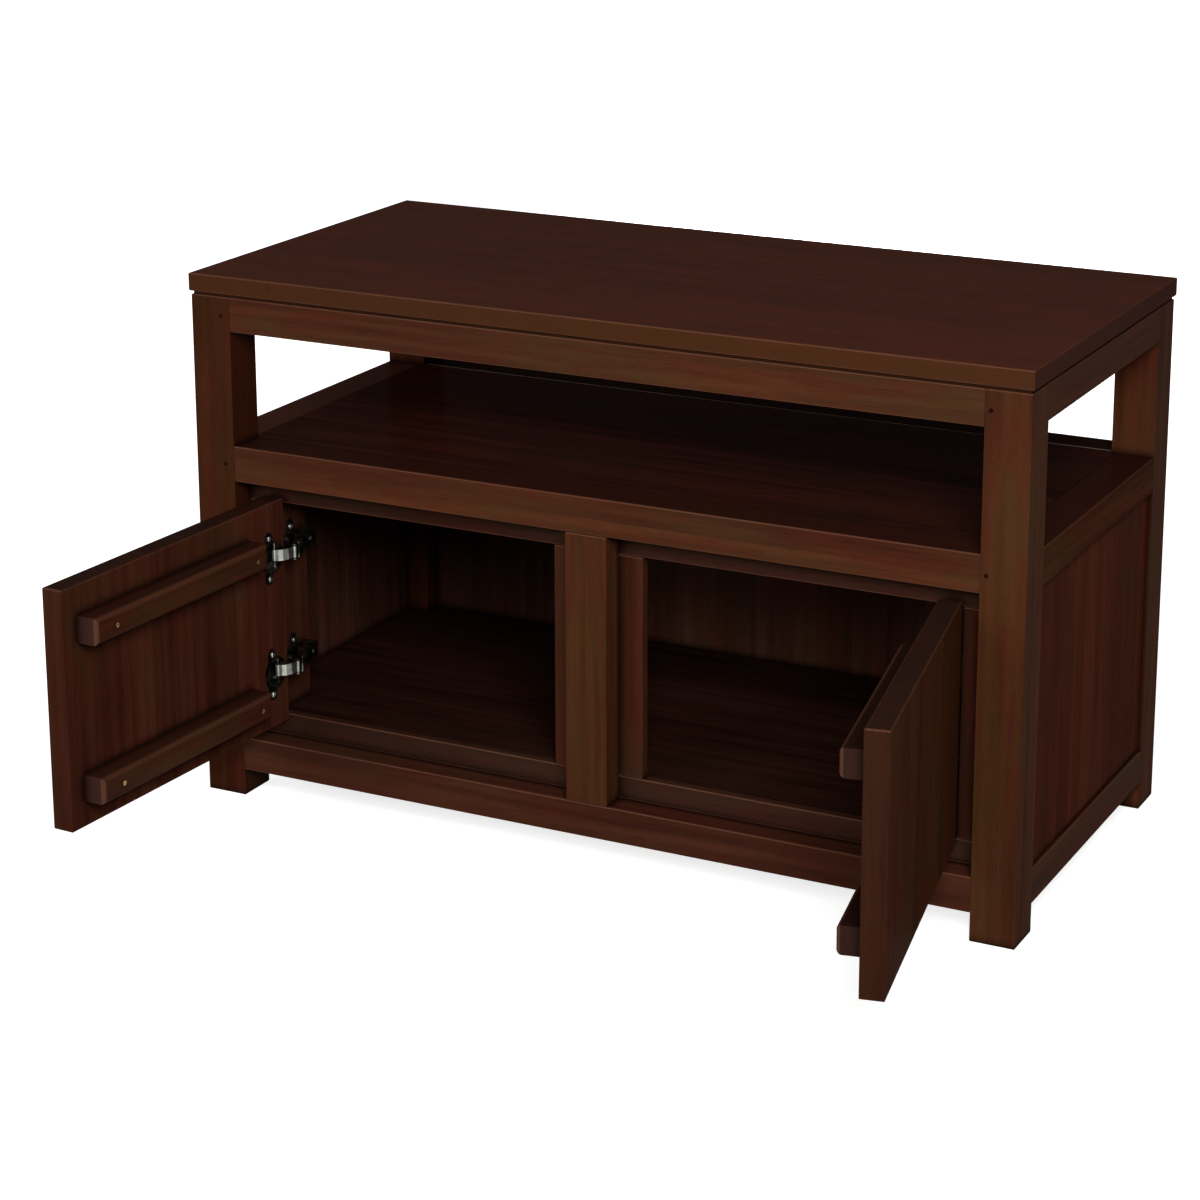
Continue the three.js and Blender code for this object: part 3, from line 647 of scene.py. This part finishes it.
# Nickel screws: two in the ears of each cup, two in each mounting plate and one in each arm
hingeScrews = {
    "headRadius": 3.3,
    "headHeight": 0.6,
    "dome": 1.3,
    "centres": (65, 204),
    "earFromEdge": 29.5,
    "earFace": 27.0,
    "earHeight": 24,
    "plateThickness": 2,
    "plateScrewSetback": 13,
    "plateScrewHeight": 16,
    "armScrewSetback": 28,
    "armTop": 17.5,
    "armTilt": math.radians(7),
}
pattern = modelScrew(hingeScrews)
giveMaterial(pattern, polished)
for side in sides:
    ears = [
        doorPlaces[side] @ at(hingeScrews["earFromEdge"], hingeScrews["earFace"], centre + end) @ towardsY
        for centre in hingeScrews["centres"]
        for end in (-hingeScrews["earHeight"], hingeScrews["earHeight"])
    ]
    placeCopies(pattern, "ear_screw_" + side, ears, side + "_door")
    outward = 1 if side == "left" else -1
    facing = Matrix.Rotation(outward * math.pi / 2, 4, "Y")
    fixed = []
    for end in ("lower", "upper"):
        low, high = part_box(f"hinge_plate_{end}_{side}")
        wall = low.x if side == "left" else high.x
        middle = (low.z + high.z) / 2
        face = Vector((wall, low.y, middle))
        for up in (-hingeScrews["plateScrewHeight"], hingeScrews["plateScrewHeight"]):
            step = Vector((outward * hingeScrews["plateThickness"], hingeScrews["plateScrewSetback"], up))
            fixed.append(Matrix.Translation(face + step * millimetre) @ facing)
        step = Vector((outward * hingeScrews["armTop"], hingeScrews["armScrewSetback"], 0))
        tilt = Matrix.Rotation(outward * hingeScrews["armTilt"], 4, "Z")
        fixed.append(Matrix.Translation(face + step * millimetre) @ tilt @ facing)
    placeCopies(pattern, "plate_screw_" + side, fixed, "cabinet")
bpy.data.objects.remove(pattern)
print("screws made")

# Pegs that lock the tenons: dark round ends, a hair proud of the front legs
pegs = {
    "radius": 2.3,
    "proud": 0.25,
    "fromInnerEdge": {"left": 12, "right": 6.5},
    "heights": (402, 575),
    "crownInset": 0.35,        # shares of the radius and of what stands proud
    "crownRise": 0.6,
    "steps": 20,
}
pegWood = makeWood("pegEndGrain", {
    **satinLacquer, "along": yAxis, "across": xAxis, "dark": "1d0e09", "pale": "2c160e",
    "olive": "24130b", "wornAndHighlit": "2a130a", "endGrain": "1a0a06", "seed": 83.0,
})
bpy.ops.mesh.primitive_cylinder_add(
    vertices=pegs["steps"], radius=pegs["radius"] * millimetre, depth=2 * pegs["proud"] * millimetre,
)
pattern = bpy.context.object
for face in pattern.data.polygons:
    face.select = face.normal.z > facingUp
bpy.ops.object.mode_set(mode="EDIT")
bpy.ops.mesh.select_mode(type="FACE")
bpy.ops.mesh.inset(thickness=pegs["radius"] * pegs["crownInset"] * millimetre)
bpy.ops.transform.translate(value=(0, 0, pegs["proud"] * pegs["crownRise"] * millimetre))
bpy.ops.object.mode_set(mode="OBJECT")
giveMaterial(pattern, pegWood)
for side in sides:
    low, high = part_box("leg_front_" + side)
    inner = high.x if side == "left" else low.x
    inwards = 1 if side == "left" else -1
    x = inner - inwards * pegs["fromInnerEdge"][side] * millimetre
    places = [
        Matrix.Translation((x, low.y, height * millimetre)) @ Matrix.Rotation(math.pi / 2, 4, "X")
        for height in pegs["heights"]
    ]
    placeCopies(pattern, "peg_" + side, places, "cabinet")
bpy.data.objects.remove(pattern)
bpy.ops.object.select_all(action="DESELECT")
print("pegs made")

# Pale studio: a big soft light over the camera, a weaker one on the left, low ones at the left side and
# behind, and a dim dome.
# The dome and the floor are full white to the camera and in reflections, and dim as a source of light.
studio = {
    "lights": {
        "keyLight": {"place": (1.5, -2.2, 1.9), "power": 70, "size": 1.2, "mirrored": True},
        "leftLight": {"place": (-1.5, -3.0, 1.4), "power": 26, "size": 1.8, "mirrored": True},
        "backLight": {"place": (-1.2, 3.4, 0.42), "power": 60, "size": 0.8, "mirrored": False},
        "sideLight": {"place": (-2.4, -0.2, 0.8), "power": 20, "size": 0.8, "mirrored": False},
    },
    "aimPlace": (0, 0.1, 0.3),
    "domeStrength": 0.12,
    "floorSize": 60.0,
    "floorColour": "e6e5e2",
    "floorBounceColour": "6c6a67",
    "floorRoughness": 0.9,
    "floorSpecular": 0.1,
    "nearGlow": 0.78,
    "farGlow": 1.0,
    "glowStart": 0.9,
    "glowEnd": 2.4,
}
for lightName, look in studio["lights"].items():
    light = bpy.data.lights.new(lightName, "AREA")
    light.energy = look["power"]
    light.size = look["size"]
    lamp = bpy.data.objects.new(lightName, light)
    bpy.context.scene.collection.objects.link(lamp)
    lamp.location = look["place"]
    aim = Vector(studio["aimPlace"]) - Vector(look["place"])
    lamp.rotation_euler = aim.to_track_quat("-Z", "Y").to_euler()
    lamp.visible_camera = False
    lamp.visible_glossy = look["mirrored"]


# 1 for the camera and for what gloss and glass show, 0 for the light that falls on the stand
def seenDirectly(tree):
    rays = addNode(tree, "ShaderNodeLightPath").outputs
    mirrored = mathNode(tree, "MAXIMUM", rays["Is Glossy Ray"], rays["Is Transmission Ray"])
    return mathNode(tree, "MAXIMUM", rays["Is Camera Ray"], mirrored)


world = bpy.data.worlds.new("paleStudio")
bpy.context.scene.world = world
world.use_nodes = True
tree = world.node_tree
tree.nodes.clear()
seen = seenDirectly(tree)
strength = addNode(tree, "ShaderNodeMix", {
    "data_type": "FLOAT", 0: seen, 2: studio["domeStrength"], 3: 1.0,
}).outputs[0]
backdrop = addNode(tree, "ShaderNodeBackground", {"Color": (1, 1, 1, 1), "Strength": strength})
addNode(tree, "ShaderNodeOutputWorld", {"Surface": backdrop.outputs[0]})

bpy.ops.mesh.primitive_plane_add(size=studio["floorSize"], location=(0, 0, 0))
floor = bpy.context.object
floor.name = "studioFloor"
floorPaint, tree = newMaterial("paleFloorPaint")     # matt emulsion: white, with a soft shadow
seen = seenDirectly(tree)
floorPlace = addNode(tree, "ShaderNodeTexCoord").outputs["Object"]
reach = vectorNode(tree, "LENGTH", floorPlace)
glow = shareOf(tree, reach, studio["glowStart"], studio["glowEnd"], studio["nearGlow"], studio["farGlow"])
shader = addNode(tree, "ShaderNodeBsdfPrincipled", {
    "Base Color": mixColour(tree, seen, studio["floorBounceColour"], studio["floorColour"]),
    "Roughness": studio["floorRoughness"],
    "Specular IOR Level": studio["floorSpecular"],
    "Emission Color": (1, 1, 1, 1),
    "Emission Strength": mathNode(tree, "MULTIPLY", glow, seen),
})
addNode(tree, "ShaderNodeOutputMaterial", {"Surface": shader.outputs[0]})
giveMaterial(floor, floorPaint)
bpy.ops.object.select_all(action="DESELECT")
print("studio made")

# The camera stands to the right of the stand and looks down at it a little
cameraView = {
    "place": (1.44517, -2.81991, 1.35616),
    "yaw": 0.4546134,
    "pitch": 0.2553625,
    "roll": 0.0026852,
    "lens": 90.954,
    "sensor": 36,
    "shift": (-0.05395, -0.17451),
}
cameraData = bpy.data.cameras.new("photoCamera")
cameraData.sensor_width = cameraView["sensor"]
cameraData.lens = cameraView["lens"]
cameraData.shift_x, cameraData.shift_y = cameraView["shift"]
camera = bpy.data.objects.new("photoCamera", cameraData)
bpy.context.scene.collection.objects.link(camera)
level = Euler((math.pi / 2 - cameraView["pitch"], 0, cameraView["yaw"])).to_matrix()
rolled = level @ Matrix.Rotation(cameraView["roll"], 3, "Z")
camera.rotation_euler = rolled.to_euler()
camera.location = cameraView["place"]
bpy.context.scene.camera = camera
bpy.context.scene.view_settings.view_transform = "Standard"
print("camera made")
